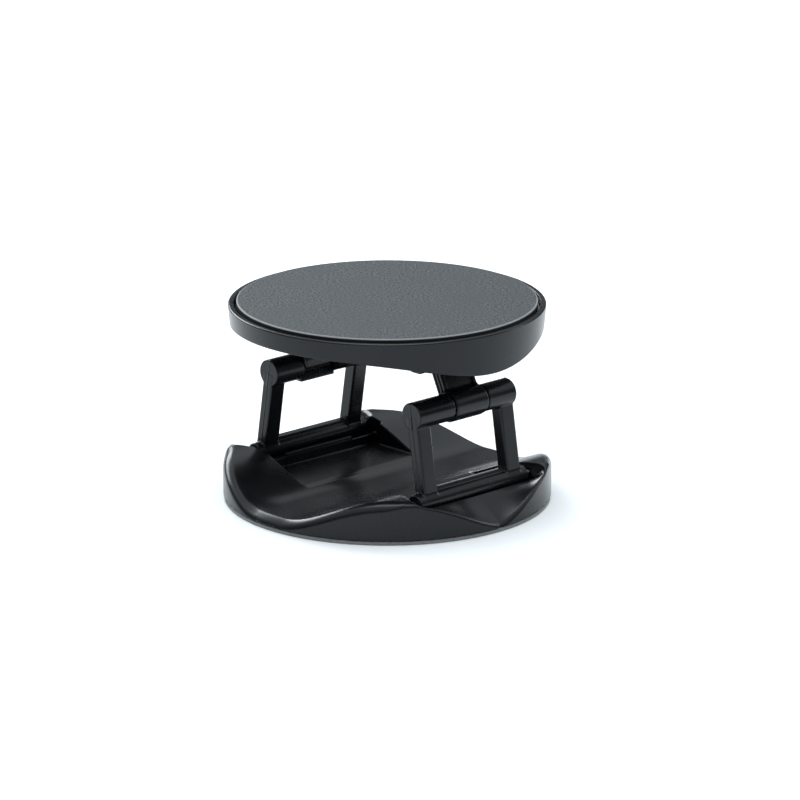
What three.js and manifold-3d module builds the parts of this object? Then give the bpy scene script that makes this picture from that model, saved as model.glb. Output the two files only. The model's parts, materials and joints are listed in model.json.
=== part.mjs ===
// Collapsible phone stand: a wavy round base and a round top disc, joined by two folding linkages.
// Each linkage is a closed leg frame hinged in the base, and a short arm clipped on the knee shaft.
// Millimetres, +Z up. The origin is the centre of the underside. The linkages stand at +X (right) and
// -X (left), and every hinge axis runs along Y.
import * as THREE from 'three';
import { mergeVertices } from 'three/addons/utils/BufferGeometryUtils.js';
import Module from 'manifold-3d';

const wasm = await Module();
wasm.setup();

// ---- Driving dimensions ----

// Hinge axes of the right linkage as it stands open, as [x, z]. The left one is its half turn about Z.
const basePivot = [15.1, 4.2];
const kneePivot = [13.35, 15.05];
const topPivot = [10.6, 20.75];

// Stacked layers lie this far apart, and a pin turns in its hole with this radial clearance.
const layerGap = 0.02;
const runningClearance = 0.06;

// Joined solids run this far into each other, and a cutter reaches this far past the face it opens.
const overlap = 0.2;
const cutMargin = 0.1;
const longMargin = 1;

// Base.
const baseRadius = 21;
const adhesiveRadius = 20.9;
const adhesiveThickness = 0.5;
const plateRadius = 19.3;
const plateThickness = 0.6;
const plateClearance = 0.1;
const postHalfWidth = 0.42;
const postEndGap = 0.15;
const baseWallEdge = 0.4;
const valleyFloor = 1.7;
const valleyFloorHalfWidth = 2.2;
const crestX = 15.2;
const crestHeight = 5.5;
const scoopStart = 16.6;
const scoopInnerHeight = 3.9;
const scoopOuterHeight = 0.85;
const scoopHalfAngle = 40;
const scoopCurve = 1.35;
const scoopSlope = 0.7;
const scoopBlendEnd = 11.4;
const recessFloor = 2.1;
const recessHalfWidth = 9.75;
const recessInnerX = 4.4;
const barBayX = 12;
const barBayHalfWidth = 10.2;
const saddleX = [12.95, 13.6];
const saddleHeight = 3.8;
const saddleHalfWidth = 5.8;
const saddleLowHeight = 3.35;

// Leg frame.
const barRadius = 1.25;
const barHalfLength = 9.4;
const finHalfWidth = 0.45;
const finHeight = 1.6;
const legOuterY = 8.35;
const legWidth = 2.3;
const legThickness = 1.85;
const legChamfer = 0.25;
const knuckleRadius = 1.75;
const kneeShaftRadius = 1;

// Arm. Its clip and plate stand a little off the middle, between a long knuckle and a short one.
const armOffset = 0.7;
const clipHalfWidth = 2.75;
const clipEndGap = 0.2;
const clipRadius = 1.85;
const clipMouthHalfAngle = 28;
const armPlateX = [-1.1, 0.5];
const armPlateStart = 0.6;
const armTabReach = 1.95;
const armTabHalfThickness = 0.45;
const topBarrelRadius = 1.3;
const topBarrelHalfWidth = 3.9;

// Hinge pins.
const pinRadius = 0.5;
const basePinHalfLength = 11.4;
const topPinHalfLength = 5.2;

// Top disc.
const discRadius = 20.2;
const rimTop = 25.7;
const rimInnerRadius = 19.45;
const rimChamfer = 0.15;
const deckTop = 24.7;
const deckUnderside = 23.95;
const skirtInnerRadius = 18.6;
const skirtTaper = 0.084;
const skirtDepths = [2.45, 2.95, 5.35];
const padTop = 26.1;
const padRadius = 19.12;
const padEdge = 0.2;
const tapeRadius = 18.8;
const tapeThickness = 0.2;

// Hinge carrier under the disc.
const carrierHalfSize = [13.2, 5.8];
const carrierUnderside = 23.35;
const lugRadius = 1.3;
const lugInnerY = 4.1;
const lugThickness = 1;
const lugSlotTravel = 0.5;

const aroundSegments = 72;
const hingeSegments = 24;
const pinSegments = 16;

// ---- Solids ----

function toSolid(geometry) {
  const bare = geometry.clone();
  bare.deleteAttribute('normal');
  bare.deleteAttribute('uv');
  const merged = mergeVertices(bare, 1e-4);
  return new wasm.Manifold(new wasm.Mesh({
    numProp: 3,
    vertProperties: new Float32Array(merged.attributes.position.array),
    triVerts: new Uint32Array(merged.index.array),
  }));
}

function toGeometry(solid) {
  const mesh = solid.getMesh();
  const geometry = new THREE.BufferGeometry();
  geometry.setAttribute('position', new THREE.BufferAttribute(mesh.vertProperties, 3));
  geometry.setIndex(new THREE.BufferAttribute(mesh.triVerts, 1));
  const flat = geometry.toNonIndexed();
  flat.computeVertexNormals();
  return flat;
}

function joined(solids) {
  return solids.reduce((all, next) => all.add(next));
}

function block([x0, x1], [y0, y1], [z0, z1]) {
  const box = new THREE.BoxGeometry(x1 - x0, y1 - y0, z1 - z0);
  box.translate((x0 + x1) / 2, (y0 + y1) / 2, (z0 + z1) / 2);
  return toSolid(box);
}

// A round bar along Y, from y0 to y1, on the axis through [x, z].
function barAlongY(radius, [y0, y1], [x, z] = [0, 0], segments = hingeSegments) {
  const bar = new THREE.CylinderGeometry(radius, radius, y1 - y0, segments);
  bar.translate(x, (y0 + y1) / 2, z);
  return toSolid(bar);
}

// An outline drawn in X and Z, extruded along Y from y0 to y1.
function prismAlongY(shape, [y0, y1]) {
  const prism = new THREE.ExtrudeGeometry(shape, { depth: y1 - y0, bevelEnabled: false });
  prism.rotateX(Math.PI / 2);
  prism.translate(0, y1, 0);
  return toSolid(prism);
}

function outline(points) {
  return new THREE.Shape(points.map(([x, y]) => new THREE.Vector2(x, y)));
}

// The profile of a plain disc, as [radius, z] points.
function discProfile(radius, [z0, z1]) {
  return [[0, z0], [radius, z0], [radius, z1], [0, z1]];
}

// A profile of [radius, z] points turned about Z. It runs from the axis outwards, up and back.
function turned(profile) {
  const points = profile.map(([r, z]) => new THREE.Vector2(r, z));
  const lathe = new THREE.LatheGeometry(points, aroundSegments);
  lathe.rotateX(Math.PI / 2);
  return toSolid(lathe);
}

// A body round Z whose section, a closed list of [radius, z] points, changes with the angle.
function turnedVarying(sectionAt) {
  const sections = [];
  for (let i = 0; i < aroundSegments; i++) {
    sections.push(sectionAt((i / aroundSegments) * 2 * Math.PI));
  }
  const count = sections[0].length;
  const positions = [];
  sections.forEach((section, i) => {
    const angle = (i / aroundSegments) * 2 * Math.PI;
    section.forEach(([r, z]) => positions.push(r * Math.cos(angle), r * Math.sin(angle), z));
  });
  const indices = [];
  for (let i = 0; i < aroundSegments; i++) {
    const next = (i + 1) % aroundSegments;
    for (let j = 0; j < count; j++) {
      const k = (j + 1) % count;
      const startsOnAxis = sections[0][j][0] === 0;
      const endsOnAxis = sections[0][k][0] === 0;
      const corners = [i * count + j, next * count + j, next * count + k, i * count + k];
      if (startsOnAxis && endsOnAxis) continue;
      if (!startsOnAxis) indices.push(corners[0], corners[1], corners[2]);
      if (!endsOnAxis) indices.push(corners[0], corners[2], corners[3]);
    }
  }
  const geometry = new THREE.BufferGeometry();
  geometry.setAttribute('position', new THREE.Float32BufferAttribute(positions, 3));
  geometry.setIndex(indices);
  return toSolid(geometry);
}

const bothSides = [-1, 1];

// The stretch between two distances from the middle, on one side of it.
function span(side, near, far) {
  return side > 0 ? [near, far] : [-far, -near];
}

function smoothStep(from, to, value) {
  const t = Math.min(1, Math.max(0, (value - from) / (to - from)));
  return t * t * (3 - 2 * t);
}

// ---- Base ----

const plateUnderside = adhesiveThickness + layerGap;
const plateTop = plateUnderside + plateThickness;

// Height of the base's upper surface: a valley along Y between two crests, and a scoop outside each bar.
function baseHeight(x, y) {
  const climb = smoothStep(valleyFloorHalfWidth, crestX, Math.abs(x));
  const valley = valleyFloor + (crestHeight - valleyFloor) * climb;
  const angle = (Math.asin(Math.min(1, Math.abs(y) / baseRadius)) * 180) / Math.PI;
  const turn = Math.min(1, angle / scoopHalfAngle) * (Math.PI / 2);
  const outer = scoopOuterHeight + (crestHeight - scoopOuterHeight) * Math.sin(turn) ** scoopCurve;
  const rise = smoothStep(barBayHalfWidth, scoopBlendEnd, Math.abs(y));
  const inner = scoopInnerHeight + (crestHeight - scoopInnerHeight) * rise;
  const wallX = Math.sqrt(Math.max(0, baseRadius ** 2 - y * y));
  if (wallX <= scoopStart) return valley;
  const past = Math.abs(x) - scoopStart;
  const slope = past > 0 ? (outer - inner) / (wallX - scoopStart) : -scoopSlope;
  return Math.min(valley, inner + slope * past);
}

function baseShell() {
  const ringCount = 16;
  const body = turnedVarying((angle) => {
    const [cos, sin] = [Math.cos(angle), Math.sin(angle)];
    const wallTop = baseHeight(baseRadius * cos, baseRadius * sin);
    const wallEnd = wallTop - baseWallEdge;
    const section = [[0, plateUnderside], [baseRadius, plateUnderside], [baseRadius, wallEnd]];
    for (let ring = ringCount; ring >= 0; ring--) {
      const r = ((baseRadius - baseWallEdge) * ring) / ringCount;
      section.push([r, baseHeight(r * cos, r * sin)]);
    }
    return section;
  });
  const plateSeat = turned(discProfile(plateRadius + plateClearance, [0, plateTop + layerGap]));
  const cutters = [plateSeat];
  const ribs = [];
  for (const side of bothSides) {
    const wide = [-recessHalfWidth, recessHalfWidth];
    const long = span(side, recessInnerX, scoopStart);
    const upwards = [recessFloor, crestHeight + longMargin];
    const barBay = [-barBayHalfWidth, barBayHalfWidth];
    cutters.push(block(long, wide, upwards), block(span(side, barBayX, scoopStart), barBay, upwards));
    for (const end of bothSides) {
      const reach = span(end, barBayHalfWidth - cutMargin, basePinHalfLength + cutMargin);
      const halfSlot = pinRadius + runningClearance;
      const axis = [side * basePivot[0], basePivot[1]];
      cutters.push(block([axis[0] - halfSlot, axis[0] + halfSlot], reach, [0, axis[1]]));
      cutters.push(barAlongY(halfSlot, reach, axis, pinSegments));
    }
    // A saddle holds the bar, and is lower where the folded legs lie over it.
    const saddle = [-saddleHalfWidth, saddleHalfWidth];
    const lowSaddle = [-barBayHalfWidth - overlap, barBayHalfWidth + overlap];
    ribs.push(block(span(side, ...saddleX), saddle, [recessFloor - overlap, saddleHeight]));
    ribs.push(block(span(side, ...saddleX), lowSaddle, [recessFloor - overlap, saddleLowHeight]));
  }
  return body.subtract(joined(cutters)).add(joined(ribs));
}

// The keeper plate closes the underside, and its posts hold the hinge pins up in their slots.
function baseKeeperPlate() {
  const plate = turned(discProfile(plateRadius, [plateUnderside, plateTop]));
  const posts = [];
  for (const side of bothSides) {
    for (const end of bothSides) {
      const middle = side * basePivot[0];
      const reach = span(end, barBayHalfWidth + postEndGap, basePinHalfLength - postEndGap);
      const top = basePivot[1] - pinRadius - runningClearance;
      const wide = [middle - postHalfWidth, middle + postHalfWidth];
      posts.push(block(wide, reach, [plateTop - overlap, top]));
    }
  }
  return plate.add(joined(posts));
}

function baseAdhesivePad() {
  return turned(discProfile(adhesiveRadius, [0, adhesiveThickness]));
}

// ---- Linkage, drawn standing straight up from the lower axis of each piece ----

const frameLength = Math.hypot(kneePivot[0] - basePivot[0], kneePivot[1] - basePivot[1]);
const armLength = Math.hypot(topPivot[0] - kneePivot[0], topPivot[1] - kneePivot[1]);
const frameLean = Math.atan2(kneePivot[0] - basePivot[0], kneePivot[1] - basePivot[1]);
const armLean = Math.atan2(topPivot[0] - kneePivot[0], topPivot[1] - kneePivot[1]);

function legFrame() {
  const bar = barAlongY(barRadius, [-barHalfLength, barHalfLength]);
  const kneeAxis = [0, frameLength];
  const shaft = barAlongY(kneeShaftRadius, [-legOuterY + overlap, legOuterY - overlap], kneeAxis);
  const finHalfLength = legOuterY - legWidth + overlap;
  const fin = block([-finHalfWidth, finHalfWidth], [-finHalfLength, finHalfLength], [0, finHeight]);
  const solids = [bar, shaft, fin];
  const [hx, hy] = [legThickness / 2, legWidth / 2];
  const section = outline([
    [-hx + legChamfer, -hy], [hx - legChamfer, -hy], [hx, -hy + legChamfer], [hx, hy - legChamfer],
    [hx - legChamfer, hy], [-hx + legChamfer, hy], [-hx, hy - legChamfer], [-hx, -hy + legChamfer],
  ]);
  for (const side of bothSides) {
    const leg = new THREE.ExtrudeGeometry(section, { depth: frameLength, bevelEnabled: false });
    leg.translate(0, side * (legOuterY - hy), 0);
    solids.push(toSolid(leg));
    const knuckleInner = clipHalfWidth + clipEndGap + side * armOffset;
    solids.push(barAlongY(knuckleRadius, span(side, knuckleInner, legOuterY), kneeAxis));
  }
  const past = [-barHalfLength - longMargin, barHalfLength + longMargin];
  const hole = barAlongY(pinRadius + runningClearance, past, [0, 0], pinSegments);
  return joined(solids).subtract(hole);
}

// The arm's lower end is an open clip pressed over the knee shaft, with a stop tab under its mouth.
function arm() {
  const past = [-topBarrelHalfWidth - longMargin, topBarrelHalfWidth + longMargin];
  const wide = [armOffset - clipHalfWidth, armOffset + clipHalfWidth];
  const clip = barAlongY(clipRadius, wide);
  const plate = block(armPlateX, wide, [armPlateStart, armLength]);
  const topBarrelEnds = [-topBarrelHalfWidth, topBarrelHalfWidth];
  const topBarrel = barAlongY(topBarrelRadius, topBarrelEnds, [0, armLength]);
  const tab = new THREE.BoxGeometry(2 * armTabHalfThickness, 2 * clipHalfWidth, armTabReach);
  tab.translate(0, armOffset, -armTabReach / 2);
  tab.rotateY(-armLean);
  const bore = barAlongY(kneeShaftRadius + runningClearance, past);
  const mouthAngle = (clipMouthHalfAngle * Math.PI) / 180;
  const depth = clipRadius + longMargin;
  const mouth = prismAlongY(outline([
    [0, 0], [-depth, -depth * Math.tan(mouthAngle)], [-depth, depth * Math.tan(mouthAngle)],
  ]), past);
  const pinHole = barAlongY(pinRadius + runningClearance, past, [0, armLength], pinSegments);
  return joined([clip, plate, topBarrel, toSolid(tab)]).subtract(joined([bore, mouth, pinHole]));
}

function pin(halfLength) {
  return barAlongY(pinRadius, [-halfLength, halfLength], [0, 0], pinSegments);
}

// ---- Top disc ----

// The skirt hangs lowest over the two linkages, where it fills the scoops of the base when folded. Its
// depths are the shallow one midway between the linkages, the broad swell, and the deepest point.
function skirtDepth(angle) {
  const [shallow, swell, deep] = skirtDepths;
  return shallow + (swell - shallow) * Math.cos(angle) ** 2 + (deep - swell) * Math.cos(angle) ** 6;
}

function discShell() {
  return turnedVarying((angle) => {
    const depth = skirtDepth(angle);
    const bottom = rimTop - depth;
    return [
      [0, deckUnderside],
      [skirtInnerRadius, deckUnderside],
      [skirtInnerRadius, bottom],
      [discRadius - skirtTaper * depth, bottom],
      [discRadius, rimTop - rimChamfer],
      [discRadius - rimChamfer, rimTop],
      [rimInnerRadius, rimTop],
      [rimInnerRadius, deckTop],
      [0, deckTop],
    ];
  });
}

// A bar along Y with a round-ended section, wider in X than it is high by the travel of the lugs' slots.
function obroundAlongY(radius, reach, [x, z], segments) {
  const ends = [x - lugSlotTravel, x + lugSlotTravel];
  const middle = block(ends, reach, [z - radius, z + radius]);
  return joined([middle, ...ends.map((end) => barAlongY(radius, reach, [end, z], segments))]);
}

// The hinge carrier has four lugs. Their slots let the pins shift a little sideways as the linkages fold.
function discHingeCarrier() {
  const [halfX, halfY] = carrierHalfSize;
  const top = deckUnderside - layerGap;
  const plate = block([-halfX, halfX], [-halfY, halfY], [carrierUnderside, top]);
  const lugs = [];
  const slots = [];
  for (const side of bothSides) {
    const [x, z] = [side * topPivot[0], topPivot[1]];
    for (const end of bothSides) {
      const thick = span(end, lugInnerY, lugInnerY + lugThickness);
      const past = span(end, lugInnerY - cutMargin, lugInnerY + lugThickness + cutMargin);
      const halfWidth = lugSlotTravel + lugRadius;
      lugs.push(obroundAlongY(lugRadius, thick, [x, z], hingeSegments));
      lugs.push(block([x - halfWidth, x + halfWidth], thick, [z, top - cutMargin]));
      slots.push(obroundAlongY(pinRadius + runningClearance, past, [x, z], pinSegments));
    }
  }
  return plate.add(joined(lugs)).subtract(joined(slots));
}

const tapeUnderside = deckTop + layerGap;
const padUnderside = tapeUnderside + tapeThickness + layerGap;

function padTape() {
  const top = tapeUnderside + tapeThickness;
  return turned([[0, tapeUnderside], [tapeRadius, tapeUnderside], [tapeRadius, top], [0, top]]);
}

function topPad() {
  return turned([
    [0, padUnderside],
    [padRadius, padUnderside],
    [padRadius, padTop - padEdge],
    [padRadius - padEdge, padTop],
    [0, padTop],
  ]);
}

// ---- Materials ----

const blackPlastic = new THREE.MeshStandardMaterial({ color: 0x1b1c1e, roughness: 0.45, metalness: 0 });
const greyPad = new THREE.MeshStandardMaterial({ color: 0x4a4d50, roughness: 0.85, metalness: 0 });
const adhesiveGrey = new THREE.MeshStandardMaterial({ color: 0x8a8c8d, roughness: 0.6, metalness: 0 });
const pinSteel = new THREE.MeshStandardMaterial({ color: 0xb8babc, roughness: 0.3, metalness: 1 });

// ---- Assembly ----

function meshOf(name, solid, material) {
  const mesh = new THREE.Mesh(toGeometry(solid), material);
  mesh.name = name;
  return mesh;
}

// A piece on the linkage stands at its lower axis, leaning from upright by the given angle about Y.
function placed([x, z], lean, ...meshes) {
  const group = new THREE.Group();
  group.position.set(x, 0, z);
  group.rotation.y = lean;
  group.add(...meshes);
  return group;
}

function linkage(sideName, turn) {
  const group = new THREE.Group();
  group.rotation.z = turn;
  group.add(
    placed(basePivot, frameLean, meshOf(sideName + '_frame', legFrame(), blackPlastic)),
    placed(kneePivot, armLean, meshOf(sideName + '_arm', arm(), blackPlastic)),
    placed(basePivot, 0, meshOf(sideName + '_base_pin', pin(basePinHalfLength), pinSteel)),
    placed(topPivot, 0, meshOf(sideName + '_top_pin', pin(topPinHalfLength), pinSteel)),
  );
  return group;
}

const stand = new THREE.Group();
stand.add(
  meshOf('base_adhesive_pad', baseAdhesivePad(), adhesiveGrey),
  meshOf('base_keeper_plate', baseKeeperPlate(), blackPlastic),
  meshOf('base_shell', baseShell(), blackPlastic),
  linkage('right', 0),
  linkage('left', Math.PI),
  meshOf('disc_hinge_carrier', discHingeCarrier(), blackPlastic),
  meshOf('disc_shell', discShell(), blackPlastic),
  meshOf('pad_tape', padTape(), adhesiveGrey),
  meshOf('top_pad', topPad(), greyPad),
);

export default stand;
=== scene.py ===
"""Visual model of a folding stick-on phone stand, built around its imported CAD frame.

Shapes are drawn in millimetres in the row frame and become metres when their meshes are made. Moulded
pieces are signed distance fields, so that every edge has its own small radius. Round ones are turned.
"""
import itertools
import json
import math

import bpy
import numpy as np
from mathutils import Matrix, Vector


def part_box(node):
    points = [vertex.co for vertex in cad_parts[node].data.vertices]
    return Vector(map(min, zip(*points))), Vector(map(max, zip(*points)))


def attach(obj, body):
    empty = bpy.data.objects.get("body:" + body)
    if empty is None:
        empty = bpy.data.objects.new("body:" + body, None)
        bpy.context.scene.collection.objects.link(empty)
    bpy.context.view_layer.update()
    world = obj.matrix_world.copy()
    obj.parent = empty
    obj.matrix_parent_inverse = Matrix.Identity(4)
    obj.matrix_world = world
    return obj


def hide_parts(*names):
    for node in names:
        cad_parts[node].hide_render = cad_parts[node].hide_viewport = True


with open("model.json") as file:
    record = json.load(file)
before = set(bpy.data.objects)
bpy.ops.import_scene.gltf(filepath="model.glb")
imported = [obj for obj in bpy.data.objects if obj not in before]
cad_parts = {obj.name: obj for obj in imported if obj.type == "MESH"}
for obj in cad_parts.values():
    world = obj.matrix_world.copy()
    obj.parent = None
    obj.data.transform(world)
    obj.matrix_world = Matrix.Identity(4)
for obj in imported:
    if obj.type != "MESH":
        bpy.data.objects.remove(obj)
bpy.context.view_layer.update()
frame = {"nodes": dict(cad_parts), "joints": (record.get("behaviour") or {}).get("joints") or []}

# ---- Driving dimensions, in millimetres ----

MM = 0.001
ANCHORS = {joint["name"]: np.array(joint["pos_m"]) / MM for joint in frame["joints"]}
BASE_PIVOT = ANCHORS["right_frame_fold"]
KNEE_PIVOT = ANCHORS["right_arm_fold"]
TOP_PIVOT = ANCHORS["disc_level"]

PIN_RADIUS = 0.5
PIN_HOLE_RADIUS = 0.56
PIN_END_ROUND = 0.12

# Slots and ribs run this far past the face they meet.
OVERLAP = 0.3

BASE_RADIUS = 21.0
BASE_UNDERSIDE = 0.52
VALLEY_RIM_ROUND = 1.4
SCOOP_RIM_ROUND = 0.45
RIM_ROUND_BLEND_X = (14.5, 18.0)
VALLEY_FLOOR = 1.7
VALLEY_FLOOR_HALF_WIDTH = 2.2
CREST_X = 15.2
CREST_HEIGHT = 5.5
CREST_ROUND = 0.35
SCOOP_START = 16.6
SCOOP_INNER_HEIGHT = 3.9
SCOOP_OUTER_HEIGHT = 0.85
SCOOP_HALF_ANGLE = 40.0
SCOOP_CURVE = 1.35
SCOOP_SLOPE = 0.7
SCOOP_LEAST_WIDTH = 0.3
SCOOP_BLEND_END = 11.4
RECESS_FLOOR = 2.1
RECESS_HALF_WIDTH = 9.75
RECESS_INNER_X = 4.4
BAR_BAY_X = 12.0
BAR_BAY_HALF_WIDTH = 10.2
SADDLE_X = (12.95, 13.6)
SADDLE_HEIGHT = 3.8
SADDLE_HALF_WIDTH = 5.8
SADDLE_LOW_HEIGHT = 3.35
SADDLE_ROOT_DEPTH = 0.5
PLATE_SEAT_RADIUS = 19.4
PLATE_SEAT_TOP = 1.14
PIN_SLOT_END = 11.5

BAR_RADIUS = 1.25
BAR_HALF_LENGTH = 9.4
WEB_HALF_WIDTH = 0.45
WEB_HEIGHT = 1.6
LEG_OUTER_Y = 8.35
LEG_WIDTH = 2.3
LEG_HALF_THICKNESS = 0.925
KNUCKLE_RADIUS = 1.75
KNEE_SHAFT_RADIUS = 1.0
BEAD_HALF_WIDTH = 0.07
BEAD_HEIGHT = 0.05
BEAD_DEPTH = 0.3

ARM_OFFSET = 0.7
CLIP_HALF_WIDTH = 2.75
CLIP_RADIUS = 1.85
CLIP_BORE_RADIUS = 1.06
CLIP_END_GAP = 0.2
CLIP_MOUTH_HALF_ANGLE = math.radians(28)
ARM_PLATE_X = (-1.1, 0.5)
ARM_PLATE_START = 0.6
ARM_PANEL_DEPTH = 0.28
ARM_PANEL_BORDER = 0.55
ARM_PANEL_OVERLAP = 0.4
ARM_GROOVES_X = (-0.62, -0.05)
ARM_GROOVE_DEPTH = 0.14
TOP_BARREL_RADIUS = 1.3
TOP_BARREL_HALF_WIDTH = 3.9
LIP_X = (-0.95, 0.45)
LIP_Z = (-1.95, -1.2)
LIP_OVERHANG = 0.12

DISC_RADIUS = 20.2
RIM_TOP = 25.7
RIM_INNER_RADIUS = 19.45
DECK_TOP = 24.7
DECK_UNDERSIDE = 23.95
SKIRT_INNER_RADIUS = 18.6
SKIRT_TAPER = 0.084
SKIRT_DEPTHS = (2.45, 2.95, 5.35)

PAD_RADIUS = 19.12
PAD_UNDERSIDE = 24.94
PAD_TOP = 26.1
PAD_EDGE_RING = 0.5

# A painted highlight turns the pad's face pale between these distances in from its edge, and painted shade
# turns its side near black below these depths under its top.
PAD_EDGE_HIGHLIGHT = (0.25, 0.1)
PAD_SIDE_SHADE_DEPTHS = (0.2, 0.1)

ADHESIVE_RADIUS = 20.9
ADHESIVE_THICKNESS = 0.5

CARRIER_HALF_SIZE = (13.2, 5.8)
CARRIER_UNDERSIDE = 23.35
CARRIER_TOP = 23.93
LUG_RADIUS = 1.3
LUG_INNER_Y = 4.1
LUG_THICKNESS = 1.0
LUG_SLOT_TRAVEL = 0.5
HIDDEN_EDGE_WIDTH = 0.08


# ---- Signed distances, in millimetres ----

def box_distance(point, low, high, rounding):
    """Distance from (x, y, z) to a box whose edges are rounded. It is negative inside."""
    spans = []
    for value, near, far in zip(point, low, high):
        spans.append(np.abs(value - (near + far) / 2) - ((far - near) / 2 - rounding))
    outside = np.sqrt(sum(np.maximum(span, 0) ** 2 for span in spans))
    inside = np.minimum(np.maximum(np.maximum(spans[0], spans[1]), spans[2]), 0)
    return outside + inside - rounding


def bar_distance(point, axis, radius, reach, rounding):
    """Distance to a round bar along Y on the axis (x, z), with rounded ends."""
    x, y, z = point
    around = np.hypot(x - axis[0], z - axis[1]) - (radius - rounding)
    along = np.abs(y - (reach[0] + reach[1]) / 2) - ((reach[1] - reach[0]) / 2 - rounding)
    outside = np.hypot(np.maximum(around, 0), np.maximum(along, 0))
    return outside + np.minimum(np.maximum(around, along), 0) - rounding


def joined(a, b, fillet):
    """Both shapes, with a fillet of that radius where they meet."""
    near = np.hypot(np.maximum(fillet - a, 0), np.maximum(fillet - b, 0))
    return np.maximum(fillet, np.minimum(a, b)) - near


def shared(a, b, rounding):
    """What both shapes hold, with its new edges rounded."""
    near = np.hypot(np.maximum(rounding + a, 0), np.maximum(rounding + b, 0))
    return np.minimum(-rounding, np.maximum(a, b)) + near


def cut(a, b, rounding):
    """The first shape without the second, with its new edges rounded."""
    return shared(a, -b, rounding)


def under(height, x, y, z):
    """Distance, nearly, to the space under a height that varies with x and y."""
    step = 0.02
    here = height(x, y)
    slope_x = (height(x + step, y) - here) / step
    slope_y = (height(x, y + step) - here) / step
    return (z - here) / np.sqrt(1 + slope_x ** 2 + slope_y ** 2)


# ---- Meshes from signed distances ----

NET_MARGIN = 0.3


def grid_lines(low, high, step, fine_stretches=(), fine_step=0.1):
    """Grid lines from low to high, a step apart, and closer together in the fine stretches."""
    stops = sorted({low, high, *itertools.chain(*fine_stretches)})
    lines = [low]
    for start, end in zip(stops, stops[1:]):
        is_fine = any(near <= start and end <= far for near, far in fine_stretches)
        count = math.ceil((end - start) / (fine_step if is_fine else step))
        lines.extend(start + (end - start) * (k + 1) / count for k in range(count))
    return np.array(lines)


def slope_of(field, points):
    """The gradient of a field at each point."""
    step = 0.01
    slopes = np.empty_like(points)
    for axis in range(3):
        offset = np.zeros(3)
        offset[axis] = step
        slopes[:, axis] = (field(*(points + offset).T) - field(*(points - offset).T)) / (2 * step)
    return slopes


def surface_net(field, lines):
    """The zero surface of a field as (points, quads, normals), with every point pulled onto it."""
    inside = field(*np.meshgrid(*lines, indexing="ij")) < 0
    cell_counts = [len(line) - 1 for line in lines]
    filled = np.zeros(cell_counts, int)
    for shift in itertools.product((0, 1), repeat=3):
        filled += inside[tuple(slice(s, s + n) for s, n in zip(shift, cell_counts))]
    mixed = (filled > 0) & (filled < 8)
    number = np.full(mixed.shape, -1)
    number[mixed] = np.arange(mixed.sum())
    cells = np.argwhere(mixed)
    middles = [(line[1:] + line[:-1]) / 2 for line in lines]
    points = np.stack([middles[axis][cells[:, axis]] for axis in range(3)], axis=-1)
    quads = []
    for axis in range(3):
        b, c = (axis + 1) % 3, (axis + 2) % 3
        near = np.take(inside, np.arange(cell_counts[axis]), axis)
        far = np.take(inside, np.arange(1, cell_counts[axis] + 1), axis)
        edges = np.argwhere(near != far)
        in_b = (edges[:, b] > 0) & (edges[:, b] < cell_counts[b])
        in_c = (edges[:, c] > 0) & (edges[:, c] < cell_counts[c])
        edges = edges[in_b & in_c]
        corners = []
        for step_b, step_c in ((-1, -1), (0, -1), (0, 0), (-1, 0)):
            cell = edges.copy()
            cell[:, b] += step_b
            cell[:, c] += step_c
            corners.append(number[tuple(cell.T)])
        quad = np.stack(corners, axis=-1)
        faces_back = ~inside[tuple(edges.T)]
        quad[faces_back] = quad[faces_back][:, ::-1]
        quads.append(quad)
    farthest = min(np.diff(line).max() for line in lines)
    for _ in range(8):
        slopes = slope_of(field, points)
        reach = field(*points.T) / np.maximum((slopes ** 2).sum(-1), 0.25)
        points -= np.clip(reach, -farthest, farthest)[:, None] * slopes
    normals = slope_of(field, points)
    normals /= np.maximum(np.linalg.norm(normals, axis=-1, keepdims=True), 1e-9)
    return points, np.concatenate(quads), normals


def moulded_piece(name, net, spin=np.eye(3), origin=(0, 0, 0)):
    """A mesh object from a surface net, spun and moved to its place in the row frame."""
    points, quads, normals = net
    mesh = bpy.data.meshes.new(name)
    mesh.from_pydata(((points @ spin.T + np.array(origin)) * MM).tolist(), [], quads.tolist())
    mesh.shade_smooth()
    mesh.normals_split_custom_set_from_vertices((normals @ spin.T).tolist())
    piece = bpy.data.objects.new(name, mesh)
    bpy.context.scene.collection.objects.link(piece)
    return piece


# ---- Meshes turned about an axis ----

def rounded_profile(corners):
    """Points along a profile of (radius, z, rounding) corners, with an arc at each rounded one."""
    arc_steps = 6
    points = []
    for i, (r, z, rounding) in enumerate(corners):
        here = Vector((r, z))
        if rounding == 0:
            points.append(here)
            continue
        back = (Vector(corners[i - 1][:2]) - here).normalized()
        ahead = (Vector(corners[i + 1][:2]) - here).normalized()
        half = back.angle(ahead) / 2
        centre = here + (back + ahead).normalized() * (rounding / math.sin(half))
        start = (here + back * (rounding / math.tan(half)) - centre).normalized()
        end = (here + ahead * (rounding / math.tan(half)) - centre).normalized()
        for k in range(arc_steps + 1):
            points.append(centre + start.slerp(end, k / arc_steps) * rounding)
    return points


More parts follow.
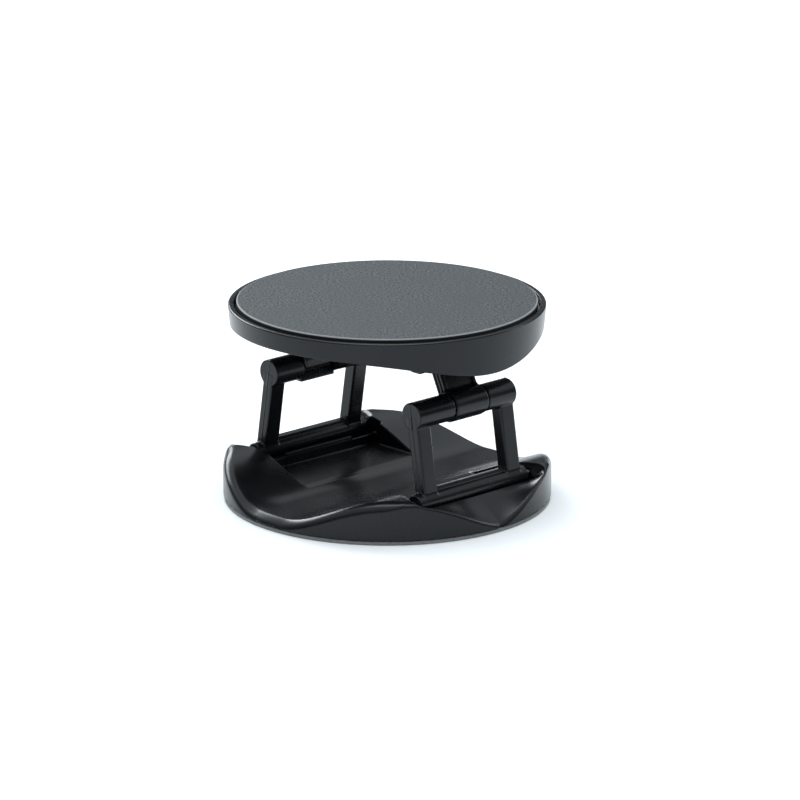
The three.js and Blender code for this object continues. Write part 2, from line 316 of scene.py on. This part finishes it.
def turned_piece(name, corners_at, segments, along_y=False):
    """A body turned about Z, or Y, whose profile may change with the angle and ends on the axis."""
    angles = [2 * math.pi * i / segments for i in range(segments)]
    profiles = [rounded_profile(corners_at(angle)) for angle in angles]
    count = len(profiles[0])
    verts = [(0, 0, profiles[0][0][1]), (0, 0, profiles[0][-1][1])]
    for angle, profile in zip(angles, profiles):
        verts.extend((r * math.cos(angle), r * math.sin(angle), z) for r, z in profile[1:-1])
    ring = count - 2
    faces = []
    for i in range(segments):
        this, following = 2 + i * ring, 2 + (i + 1) % segments * ring
        faces.append((0, following, this))
        faces.append((1, this + ring - 1, following + ring - 1))
        for j in range(ring - 1):
            faces.append((this + j, following + j, following + j + 1, this + j + 1))
    if along_y:
        verts = [(x, z, -y) for x, y, z in verts]
    mesh = bpy.data.meshes.new(name)
    mesh.from_pydata([tuple(value * MM for value in vert) for vert in verts], [], faces)
    mesh.shade_smooth()
    piece = bpy.data.objects.new(name, mesh)
    bpy.context.scene.collection.objects.link(piece)
    piece.modifiers.new("even_shading", "WEIGHTED_NORMAL").weight = 100
    return piece


# ---- Materials ----

class Surface:
    """A Principled material under construction, with its pattern in object coordinates."""

    def __init__(self, name, roughness, metallic=0.0, specular=0.5):
        self.material = bpy.data.materials.new(name)
        self.material.use_nodes = True
        self.nodes = self.material.node_tree.nodes
        self.links = self.material.node_tree.links
        self.shader = self.nodes["Principled BSDF"]
        self.shader.inputs["Roughness"].default_value = roughness
        self.shader.inputs["Metallic"].default_value = metallic
        self.shader.inputs["Specular IOR Level"].default_value = specular
        self.place = self.nodes.new("ShaderNodeTexCoord").outputs["Object"]

    def noise(self, size, detail=3.0, roughness=0.55):
        """Noise with features of about this size, in millimetres."""
        node = self.nodes.new("ShaderNodeTexNoise")
        node.inputs["Scale"].default_value = 1 / (size * MM)
        node.inputs["Detail"].default_value = detail
        node.inputs["Roughness"].default_value = roughness
        self.links.new(self.place, node.inputs["Vector"])
        return node.outputs["Fac"]

    def spread(self, value, source, target):
        """The value moved from the source range to the target range."""
        node = self.nodes.new("ShaderNodeMapRange")
        for socket, number in zip(("From Min", "From Max", "To Min", "To Max"), (*source, *target)):
            node.inputs[socket].default_value = number
        self.links.new(value, node.inputs["Value"])
        return node.outputs["Result"]

    def blend(self, factor, first, second):
        """A colour between two, each a colour or a colour socket."""
        node = self.nodes.new("ShaderNodeMix")
        node.data_type = "RGBA"
        self.links.new(factor, node.inputs["Factor"])
        for socket, colour in ((node.inputs[6], first), (node.inputs[7], second)):
            if isinstance(colour, tuple):
                socket.default_value = (*colour, 1)
            else:
                self.links.new(colour, socket)
        return node.outputs[2]

    def above(self, low, high):
        """0 below a height, in millimetres, and 1 above another."""
        node = self.nodes.new("ShaderNodeSeparateXYZ")
        self.links.new(self.place, node.inputs[0])
        return self.spread(node.outputs["Z"], (low * MM, high * MM), (0, 1))

    def beyond(self, inner, outer):
        """0 within a radius about the Z axis, in millimetres, and 1 beyond another."""
        flat = self.nodes.new("ShaderNodeVectorMath")
        flat.operation = "MULTIPLY"
        self.links.new(self.place, flat.inputs[0])
        flat.inputs[1].default_value = (1, 1, 0)
        radius = self.nodes.new("ShaderNodeVectorMath")
        radius.operation = "LENGTH"
        self.links.new(flat.outputs["Vector"], radius.inputs[0])
        return self.spread(radius.outputs["Value"], (inner * MM, outer * MM), (0, 1))

    def drive(self, socket, value):
        """Feeds a socket of the shader."""
        self.links.new(value, self.shader.inputs[socket])

    def bump(self, *layers):
        """Bumps the normal by (value, height in millimetres) layers, one on top of the other."""
        normal = None
        for value, height in layers:
            node = self.nodes.new("ShaderNodeBump")
            node.inputs["Distance"].default_value = height * MM
            self.links.new(value, node.inputs["Height"])
            if normal is not None:
                self.links.new(normal, node.inputs["Normal"])
            normal = node.outputs["Normal"]
        self.drive("Normal", normal)


def black_plastic(name):
    """Moulded black plastic: glossy satin, with a fine eroded grain and faint flow marks."""
    surface = Surface(name, roughness=0.24, specular=0.29)
    flow = surface.noise(6.0, detail=4.0)
    grain = surface.noise(0.22, detail=2.0)
    dark_ink = (0.0042, 0.0052, 0.0062)
    pale_ink = (0.0068, 0.0078, 0.0092)
    ink = surface.blend(surface.spread(flow, (0.3, 0.7), (0, 1)), dark_ink, pale_ink)
    surface.drive("Base Color", ink)
    surface.drive("Roughness", surface.spread(flow, (0.3, 0.7), (0.2, 0.3)))
    surface.bump((flow, 0.005), (grain, 0.003))
    return surface.material


def speckled_pad(name):
    """The rubbery face: speckled grey, stronger in patches, with a painted highlight as a pale ring along
    its top edge and painted shade darkening its side to near black.
    """
    dark_speck, pale_speck = (0.004, 0.005, 0.006), (0.084, 0.091, 0.098)
    # The pale ring colour is a painted highlight on the pad's top edge, and the near-black colour is
    # painted shade on its side.
    plain_skin, painted_edge_highlight, painted_side_shade = (0.037, 0.041, 0.045), (0.24, 0.25, 0.26), (0.006, 0.0065, 0.007)
    surface = Surface(name, roughness=0.66, specular=0.35)
    speckle = surface.noise(0.3, detail=3.0, roughness=0.65)
    calm = surface.spread(surface.noise(4.0, detail=3.0), (0.38, 0.62), (0.1, 0.8))
    grain = surface.blend(surface.spread(speckle, (0.41, 0.60), (0, 1)), dark_speck, pale_speck)
    # Painted highlight: a narrow pale ring at the top edge. Painted shade: the side below the top is
    # painted near black.
    edge = surface.beyond(PAD_RADIUS - PAD_EDGE_HIGHLIGHT[0], PAD_RADIUS - PAD_EDGE_HIGHLIGHT[1])
    top_face_mask = surface.above(PAD_TOP - PAD_SIDE_SHADE_DEPTHS[0], PAD_TOP - PAD_SIDE_SHADE_DEPTHS[1])
    face = surface.blend(edge, surface.blend(calm, grain, plain_skin), painted_edge_highlight)
    surface.drive("Base Color", surface.blend(top_face_mask, painted_side_shade, face))
    surface.drive("Roughness", surface.spread(speckle, (0.35, 0.65), (0.74, 0.56)))
    surface.bump((speckle, 0.04), (surface.noise(0.1), 0.01))
    return surface.material


def foam_adhesive(name):
    """Grey acrylic foam with a fine cell structure."""
    dark_cell, pale_cell, plain_foam = (0.13, 0.134, 0.138), (0.25, 0.255, 0.26), (0.175, 0.18, 0.185)
    surface = Surface(name, roughness=0.55, specular=0.45)
    cells = surface.noise(0.18, detail=3.0)
    cloud = surface.noise(3.0)
    foam = surface.blend(surface.spread(cells, (0.35, 0.65), (0, 1)), dark_cell, pale_cell)
    tone = surface.blend(surface.spread(cloud, (0.3, 0.7), (0, 0.4)), foam, plain_foam)
    surface.drive("Base Color", tone)
    surface.drive("Roughness", surface.spread(cells, (0.3, 0.7), (0.48, 0.66)))
    surface.bump((cells, 0.02))
    return surface.material


def pin_steel(name):
    """Blackened steel wire, with a faint uneven polish."""
    surface = Surface(name, roughness=0.28, metallic=1.0)
    polish = surface.noise(0.5, detail=4.0)
    surface.drive("Base Color", surface.blend(polish, (0.11, 0.113, 0.118), (0.16, 0.164, 0.17)))
    surface.drive("Roughness", surface.spread(polish, (0.3, 0.7), (0.2, 0.36)))
    surface.bump((polish, 0.004))
    return surface.material


def floor_paper(name):
    """The studio's plain white floor."""
    surface = Surface(name, roughness=0.9, specular=0.1)
    tone = surface.blend(surface.noise(40.0), (0.90, 0.91, 0.92), (0.91, 0.92, 0.93))
    surface.drive("Base Color", tone)
    return surface.material


BLACK = black_plastic("satin_black_plastic")
PAD = speckled_pad("speckled_grey_pad")
FOAM = foam_adhesive("grey_foam_adhesive")
STEEL = pin_steel("drawn_steel")


def finished(piece, material, slot, body, *nodes):
    """Gives a piece its material, and puts it on its body in place of its CAD nodes. The slot is not used.
    """
    piece.data.materials.append(material)
    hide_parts(*nodes)
    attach(piece, body)
    return piece


# ---- Base ----

def smooth_step(start, end, value):
    """0 up to the start and 1 from the end on, with a smooth climb between."""
    t = np.clip((value - start) / (end - start), 0, 1)
    return t * t * (3 - 2 * t)


def valley_height(x, y):
    """The valley along Y: a level floor that climbs smoothly to the two crests."""
    climb = smooth_step(VALLEY_FLOOR_HALF_WIDTH, CREST_X, np.abs(x) + 0 * y)
    return VALLEY_FLOOR + (CREST_HEIGHT - VALLEY_FLOOR) * climb


def scoop_height(x, y):
    """The scoop outside each bar: level with the bar inside, and falling to a low wall at the rim."""
    angle = np.degrees(np.arcsin(np.clip(y / BASE_RADIUS, -1, 1)))
    turn = np.clip(np.abs(angle) / SCOOP_HALF_ANGLE, 0, 1) * math.pi / 2
    outer = SCOOP_OUTER_HEIGHT + (CREST_HEIGHT - SCOOP_OUTER_HEIGHT) * np.sin(turn) ** SCOOP_CURVE
    rise = smooth_step(BAR_BAY_HALF_WIDTH, SCOOP_BLEND_END, np.abs(y))
    inner = SCOOP_INNER_HEIGHT + (CREST_HEIGHT - SCOOP_INNER_HEIGHT) * rise
    wall_x = np.sqrt(np.maximum(BASE_RADIUS ** 2 - y ** 2, 0))
    past = x - SCOOP_START
    width = np.maximum(wall_x - SCOOP_START, SCOOP_LEAST_WIDTH)
    slope = np.where(past > 0, (outer - inner) / width, -SCOOP_SLOPE)
    return inner + slope * past


def base_field(x, y, z):
    """The base is the same in all four quarters, so one quarter is drawn."""
    x, y = np.abs(x), np.abs(y)
    point = (x, y, z)
    top = shared(under(valley_height, x, y, z), under(scoop_height, x, y, z), CREST_ROUND)
    rim_round = VALLEY_RIM_ROUND + (SCOOP_RIM_ROUND - VALLEY_RIM_ROUND) * smooth_step(*RIM_ROUND_BLEND_X, x)
    body = shared(np.hypot(x, y) - BASE_RADIUS, top, rim_round)
    body = shared(body, BASE_UNDERSIDE - z, rounding=0.1)
    recess_low = (RECESS_INNER_X, -RECESS_HALF_WIDTH, RECESS_FLOOR)
    recess_high = (SCOOP_START, RECESS_HALF_WIDTH, 2 * CREST_HEIGHT)
    bay_low = (BAR_BAY_X, -BAR_BAY_HALF_WIDTH, RECESS_FLOOR)
    bay_high = (SCOOP_START, BAR_BAY_HALF_WIDTH, 2 * CREST_HEIGHT)
    recess = box_distance(point, recess_low, recess_high, rounding=0.22)
    bay = box_distance(point, bay_low, bay_high, rounding=0.22)
    body = cut(body, np.minimum(recess, bay), rounding=0.2)
    low_half_width = BAR_BAY_HALF_WIDTH + OVERLAP
    for half_width, height in ((SADDLE_HALF_WIDTH, SADDLE_HEIGHT), (low_half_width, SADDLE_LOW_HEIGHT)):
        saddle_low = (SADDLE_X[0], -half_width, RECESS_FLOOR - SADDLE_ROOT_DEPTH)
        saddle_high = (SADDLE_X[1], half_width, height)
        saddle = box_distance(point, saddle_low, saddle_high, rounding=0.13)
        body = joined(body, saddle, fillet=0.2)
    slot_start = BAR_BAY_HALF_WIDTH - OVERLAP
    slot_low = (BASE_PIVOT[0] - PIN_HOLE_RADIUS, slot_start, 0)
    slot_high = (BASE_PIVOT[0] + PIN_HOLE_RADIUS, PIN_SLOT_END, BASE_PIVOT[2])
    slot = box_distance(point, slot_low, slot_high, rounding=0.02)
    pin_axis = (BASE_PIVOT[0], BASE_PIVOT[2])
    hole = bar_distance(point, pin_axis, PIN_HOLE_RADIUS, (slot_start, PIN_SLOT_END), rounding=0.02)
    body = cut(body, np.minimum(slot, hole), rounding=0.04)
    plate_seat = np.maximum(np.hypot(x, y) - PLATE_SEAT_RADIUS, z - PLATE_SEAT_TOP)
    return cut(body, plate_seat, rounding=0.03)


def mirrored(stretches):
    """The stretches, and the same ones on the other side of zero."""
    return [*stretches, *[(-far, -near) for near, far in stretches]]


def make_base():
    edge = BASE_RADIUS + 0.35
    fine_x = mirrored([(11.8, 12.2), (12.8, 13.8), (16.3, 16.9)])
    fine_y = mirrored([(9.5, 10.5)])
    lines = (
        grid_lines(-edge, edge, step=0.226, fine_stretches=fine_x),
        grid_lines(-edge, edge, step=0.226, fine_stretches=fine_y),
        grid_lines(BASE_UNDERSIDE - 0.22, CREST_HEIGHT + 0.4, step=0.22),
    )
    base = moulded_piece("base_body", surface_net(base_field, lines))
    finished(base, BLACK, "black_plastic", "base", "base_shell")


def disc_corners(radius, low, high, rounding):
    """The profile of a plain disc with rounded edges."""
    return [(0, low, 0), (radius, low, rounding), (radius, high, rounding), (0, high, 0)]


def make_adhesive():
    corners = disc_corners(ADHESIVE_RADIUS, 0, ADHESIVE_THICKNESS, rounding=0.14)
    adhesive = turned_piece("base_adhesive", lambda angle: corners, segments=240)
    finished(adhesive, FOAM, "adhesive", "base", "base_adhesive_pad")


# ---- Linkages ----

def frame_field(x, y, z):
    """A leg frame, with z from the bar's axis up to the knee's, and a long and a short knuckle."""
    side = np.abs(y)
    point = (x, side, z)
    bar_reach = (-BAR_HALF_LENGTH, BAR_HALF_LENGTH)
    bar = bar_distance(point, (0, 0), BAR_RADIUS, bar_reach, rounding=0.22)
    leg_low = (-LEG_HALF_THICKNESS, LEG_OUTER_Y - LEG_WIDTH, 0)
    leg_high = (LEG_HALF_THICKNESS, LEG_OUTER_Y, FRAME_LENGTH)
    leg = box_distance(point, leg_low, leg_high, rounding=0.26)
    leg_middle = LEG_OUTER_Y - LEG_WIDTH / 2
    web_low = (-WEB_HALF_WIDTH, -leg_middle, 0)
    web_high = (WEB_HALF_WIDTH, leg_middle, WEB_HEIGHT)
    web = box_distance(point, web_low, web_high, rounding=0.14)
    body = joined(joined(bar, leg, fillet=0.25), web, fillet=0.18)
    knee = (0, FRAME_LENGTH)
    knuckle_inner = CLIP_HALF_WIDTH + CLIP_END_GAP + np.sign(y) * ARM_OFFSET
    knuckle = bar_distance(point, knee, KNUCKLE_RADIUS, (knuckle_inner, LEG_OUTER_Y), rounding=0.16)
    body = joined(body, knuckle, fillet=0.1)
    shaft = bar_distance(point, knee, KNEE_SHAFT_RADIUS, (-leg_middle, leg_middle), rounding=0.1)
    body = np.minimum(body, shaft)
    body = cut(body, np.hypot(x, z) - PIN_HOLE_RADIUS, rounding=0.06)
    bead = np.maximum(np.abs(x) - BEAD_HALF_WIDTH, body - BEAD_HEIGHT)
    return np.minimum(body, np.maximum(bead, LEG_OUTER_Y - BEAD_DEPTH - side))


def arm_field(x, y, z):
    """An arm, with z from the knee up to the top hinge and x outwards."""
    along = y - ARM_OFFSET
    point = (x, along, z)
    wide = (-CLIP_HALF_WIDTH, CLIP_HALF_WIDTH)
    clip = bar_distance(point, (0, 0), CLIP_RADIUS, wide, rounding=0.2)
    plate_low = (ARM_PLATE_X[0], wide[0], ARM_PLATE_START)
    plate_high = (ARM_PLATE_X[1], wide[1], ARM_LENGTH)
    plate = box_distance(point, plate_low, plate_high, rounding=0.16)
    panel_start = CLIP_RADIUS - ARM_PANEL_OVERLAP
    panel_end = ARM_LENGTH - TOP_BARREL_RADIUS
    panel_low = (ARM_PLATE_X[1] - ARM_PANEL_DEPTH, wide[0] + ARM_PANEL_BORDER, panel_start)
    panel_high = (ARM_PLATE_X[1] + 1, wide[1] - ARM_PANEL_BORDER, panel_end)
    panel = box_distance(point, panel_low, panel_high, rounding=0.12)
    plate = cut(plate, panel, rounding=0.08)
    for middle in ARM_GROOVES_X:
        groove = np.hypot(x - middle, np.abs(along) - CLIP_HALF_WIDTH) - ARM_GROOVE_DEPTH
        plate = cut(plate, groove, rounding=0.03)
    barrel_reach = (-TOP_BARREL_HALF_WIDTH, TOP_BARREL_HALF_WIDTH)
    barrel = bar_distance((x, y, z), (0, ARM_LENGTH), TOP_BARREL_RADIUS, barrel_reach, rounding=0.15)
    sin, cos = math.sin(ARM_LEAN), math.cos(ARM_LEAN)
    upright = (cos * x + sin * z, along, cos * z - sin * x)
    lip_reach = CLIP_HALF_WIDTH + LIP_OVERHANG
    lip_low = (LIP_X[0], -lip_reach, LIP_Z[0])
    lip_high = (LIP_X[1], lip_reach, LIP_Z[1])
    lip = box_distance(upright, lip_low, lip_high, rounding=0.1)
    body = joined(joined(clip, plate, fillet=0.45), barrel, fillet=0.3)
    body = joined(body, lip, fillet=0.06)
    mouth = np.abs(z) * math.cos(CLIP_MOUTH_HALF_ANGLE) + x * math.sin(CLIP_MOUTH_HALF_ANGLE)
    body = cut(body, np.minimum(np.hypot(x, z) - CLIP_BORE_RADIUS, mouth), rounding=0.1)
    return cut(body, np.hypot(x, z - ARM_LENGTH) - PIN_HOLE_RADIUS, rounding=0.06)


def lean_and_length(lower, upper):
    """How far a link leans from upright, and how long it is, from the places of its two hinges."""
    across, up = upper[0] - lower[0], upper[2] - lower[2]
    return math.atan2(across, up), math.hypot(across, up)


FRAME_LEAN, FRAME_LENGTH = lean_and_length(BASE_PIVOT, KNEE_PIVOT)
ARM_LEAN, ARM_LENGTH = lean_and_length(KNEE_PIVOT, TOP_PIVOT)


def leaned(lean):
    """The turn about Y that leans an upright piece."""
    sin, cos = math.sin(lean), math.cos(lean)
    return np.array([[cos, 0, sin], [0, 1, 0], [-sin, 0, cos]])


HALF_TURN = np.diag([-1.0, -1.0, 1.0])


def make_pin(name, pivot, body):
    """A steel pin with rounded ends, as long as its CAD node."""
    low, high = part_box(name)
    half_length = (high.y - low.y) / 2 / MM
    corners = disc_corners(PIN_RADIUS, -half_length, half_length, PIN_END_ROUND)
    pin = turned_piece(name + "_wire", lambda angle: corners, segments=40, along_y=True)
    pin.data.transform(Matrix.Translation(Vector(pivot) * MM))
    finished(pin, STEEL, "pin_steel", body, name)


def make_linkages():
    frame_lines = (
        grid_lines(-2.0, 2.0, step=0.14, fine_stretches=[(-0.14, 0.14)], fine_step=0.05),
        grid_lines(-BAR_HALF_LENGTH - NET_MARGIN, BAR_HALF_LENGTH + NET_MARGIN, step=0.15),
        grid_lines(-1.5, FRAME_LENGTH + 2.0, step=0.14),
    )
    arm_lines = (
        grid_lines(-2.1, 2.1, step=0.12),
        grid_lines(-TOP_BARREL_HALF_WIDTH - NET_MARGIN, TOP_BARREL_HALF_WIDTH + NET_MARGIN, step=0.12),
        grid_lines(-2.3, ARM_LENGTH + 1.6, step=0.12),
    )
    frame_net = surface_net(frame_field, frame_lines)
    arm_net = surface_net(arm_field, arm_lines)
    for side, turn in (("right", np.eye(3)), ("left", HALF_TURN)):
        frame_name, arm_name = side + "_frame", side + "_arm"
        base_pivot, knee, top = turn @ BASE_PIVOT, turn @ KNEE_PIVOT, turn @ TOP_PIVOT
        legs = moulded_piece(frame_name + "_legs", frame_net, turn @ leaned(FRAME_LEAN), base_pivot)
        finished(legs, BLACK, "black_plastic", frame_name, frame_name)
        arm = moulded_piece(arm_name + "_clip", arm_net, turn @ leaned(ARM_LEAN), knee)
        finished(arm, BLACK, "black_plastic", arm_name, arm_name)
        make_pin(side + "_base_pin", base_pivot, "base")
        make_pin(side + "_top_pin", top, arm_name)


# ---- Disc ----

def skirt_depth(angle):
    """The skirt hangs lowest over the linkages, where it fills the scoops of the folded base."""
    shallow, swell, deep = SKIRT_DEPTHS
    across = math.cos(angle) ** 2
    return shallow + (swell - shallow) * across + (deep - swell) * across ** 3


def disc_shell_corners(angle):
    """The disc's cup with its skirt at this angle, from the deck's underside round to its top."""
    depth = skirt_depth(angle)
    bottom = RIM_TOP - depth
    return [
        (0, DECK_UNDERSIDE, 0),
        (SKIRT_INNER_RADIUS, DECK_UNDERSIDE, 0.3),
        (SKIRT_INNER_RADIUS, bottom, 0.3),
        (DISC_RADIUS - SKIRT_TAPER * depth, bottom, 0.22),
        (DISC_RADIUS, RIM_TOP, 0.2),
        (RIM_INNER_RADIUS, RIM_TOP, 0.1),
        (RIM_INNER_RADIUS, DECK_TOP, 0.12),
        (0, DECK_TOP, 0),
    ]


def carrier_field(x, y, z):
    """The hinge carrier: a plate with four slotted lugs."""
    x, y = np.abs(x), np.abs(y)
    point = (x, y, z)
    half_x, half_y = CARRIER_HALF_SIZE
    plate_low = (-half_x, -half_y, CARRIER_UNDERSIDE)
    plate_high = (half_x, half_y, CARRIER_TOP)
    plate = box_distance(point, plate_low, plate_high, rounding=0.15)
    hinge_x, hinge_z = TOP_PIVOT[0], TOP_PIVOT[2]
    from_slot = np.maximum(np.abs(x - hinge_x) - LUG_SLOT_TRAVEL, 0)
    across = np.hypot(from_slot, z - hinge_z)
    hanging = np.hypot(from_slot, np.minimum(z - hinge_z, 0))
    thick = np.abs(y - LUG_INNER_Y - LUG_THICKNESS / 2) - LUG_THICKNESS / 2
    lug = shared(hanging - LUG_RADIUS, thick, rounding=0.12)
    lug = shared(lug, z - CARRIER_TOP, rounding=0.1)
    body = joined(plate, lug, fillet=0.35)
    return cut(body, across - PIN_HOLE_RADIUS, rounding=0.05)


def make_disc():
    shell = turned_piece("disc_body", disc_shell_corners, segments=288)
    finished(shell, BLACK, "black_plastic", "disc", "disc_shell")
    corners = disc_corners(PAD_RADIUS, PAD_UNDERSIDE, PAD_TOP, rounding=0.2)
    corners.insert(3, (PAD_RADIUS - PAD_EDGE_RING, PAD_TOP, 0))
    pad = turned_piece("top_pad_face", lambda angle: corners, segments=288)
    finished(pad, PAD, "grey_pad", "disc", "top_pad")
    half_x, half_y = CARRIER_HALF_SIZE
    lines = (
        grid_lines(-half_x - NET_MARGIN, half_x + NET_MARGIN, step=0.17),
        grid_lines(-half_y - NET_MARGIN, half_y + NET_MARGIN, step=0.15),
        grid_lines(TOP_PIVOT[2] - LUG_RADIUS - NET_MARGIN, CARRIER_TOP + NET_MARGIN, step=0.15),
    )
    carrier = moulded_piece("hinge_carrier", surface_net(carrier_field, lines))
    finished(carrier, BLACK, "black_plastic", "disc", "disc_hinge_carrier")


def finish_hidden_nodes():
    """The keeper plate and the pad's tape keep their CAD shapes, with softened edges."""
    for name, material in (("base_keeper_plate", BLACK), ("pad_tape", FOAM)):
        node = frame["nodes"][name]
        node.data.materials.clear()
        node.data.materials.append(material)
        bevel = node.modifiers.new("softened_edges", "BEVEL")
        bevel.width = HIDDEN_EDGE_WIDTH * MM
        bevel.segments = 2
        bevel.limit_method = "ANGLE"


# ---- Studio ----

CAMERA_TARGET = (0.98, 1.32, 12.61)
CAMERA_AZIMUTH = math.radians(46.94)
CAMERA_ELEVATION = math.radians(16.5)
CAMERA_DISTANCE = 600.0
CAMERA_LENS = 211.73
LAMP_TARGET = (0, 0, 10)
LAMP_COLOR = (0.92, 0.97, 1.0)
SKY_HORIZON = (0.084, 0.091, 0.098)
SKY_OVERHEAD = (0.90, 0.965, 1.0)
SKY_STRENGTH = 1.0
FLOOR_HALF_SIZE = 4000.0


def aimed(thing, position, target):
    """Puts a camera or light at a place, in millimetres, and turns it to look at another."""
    thing.location = Vector(position) * MM
    thing.rotation_euler = (Vector(target) - Vector(position)).to_track_quat("-Z", "Y").to_euler()
    bpy.context.scene.collection.objects.link(thing)


def make_camera():
    """The camera that sees the stand from the front and a little above."""
    data = bpy.data.cameras.new("photo_view")
    data.lens = CAMERA_LENS
    data.clip_start = 0.01
    level = CAMERA_DISTANCE * math.cos(CAMERA_ELEVATION)
    position = (
        CAMERA_TARGET[0] + level * math.sin(CAMERA_AZIMUTH),
        CAMERA_TARGET[1] - level * math.cos(CAMERA_AZIMUTH),
        CAMERA_TARGET[2] + CAMERA_DISTANCE * math.sin(CAMERA_ELEVATION),
    )
    camera = bpy.data.objects.new("photo_view", data)
    aimed(camera, position, CAMERA_TARGET)
    bpy.context.scene.camera = camera


def make_softbox(name, position, size, watts):
    """A rectangular lamp of this size, in millimetres, turned to the stand."""
    data = bpy.data.lights.new(name, "AREA")
    data.shape = "RECTANGLE"
    data.size, data.size_y = size[0] * MM, size[1] * MM
    data.energy = watts
    data.color = LAMP_COLOR
    aimed(bpy.data.objects.new(name, data), position, LAMP_TARGET)


def make_sky(scene):
    """A studio that is dim around the horizon and bright overhead."""
    world = bpy.data.worlds.new("pale_studio")
    world.use_nodes = True
    nodes, links = world.node_tree.nodes, world.node_tree.links
    direction = nodes.new("ShaderNodeSeparateXYZ")
    links.new(nodes.new("ShaderNodeTexCoord").outputs["Generated"], direction.inputs[0])
    ramp = nodes.new("ShaderNodeValToRGB")
    stops = ramp.color_ramp.elements
    stops[0].position, stops[0].color = 0.30, (*SKY_HORIZON, 1)
    stops[1].position, stops[1].color = 0.62, (*SKY_OVERHEAD, 1)
    links.new(direction.outputs["Z"], ramp.inputs["Fac"])
    links.new(ramp.outputs["Color"], nodes["Background"].inputs["Color"])
    nodes["Background"].inputs["Strength"].default_value = SKY_STRENGTH
    scene.world = world


def make_floor():
    size = FLOOR_HALF_SIZE * MM
    mesh = bpy.data.meshes.new("floor")
    corners = [(-size, -size, 0), (size, -size, 0), (size, size, 0), (-size, size, 0)]
    mesh.from_pydata(corners, [], [(0, 1, 2, 3)])
    mesh.materials.append(floor_paper("white_paper"))
    floor = bpy.data.objects.new("floor", mesh)
    bpy.context.scene.collection.objects.link(floor)


def make_studio():
    """The sky, the four softboxes and the floor."""
    scene = bpy.context.scene
    scene.view_settings.view_transform = "Standard"
    make_sky(scene)
    make_softbox("top_softbox", (0, 0, 700), (450, 450), watts=3.2)
    make_softbox("left_back_softbox", (-800, 120, 400), (720, 330), watts=5.4)
    make_softbox("right_back_softbox", (350, 850, 330), (260, 360), watts=1.2)
    make_softbox("low_back_strip", (-1050, 950, 95), (700, 110), watts=0.32)
    make_floor()


make_camera()
make_studio()
make_base()
make_adhesive()
make_linkages()
make_disc()
finish_hidden_nodes()
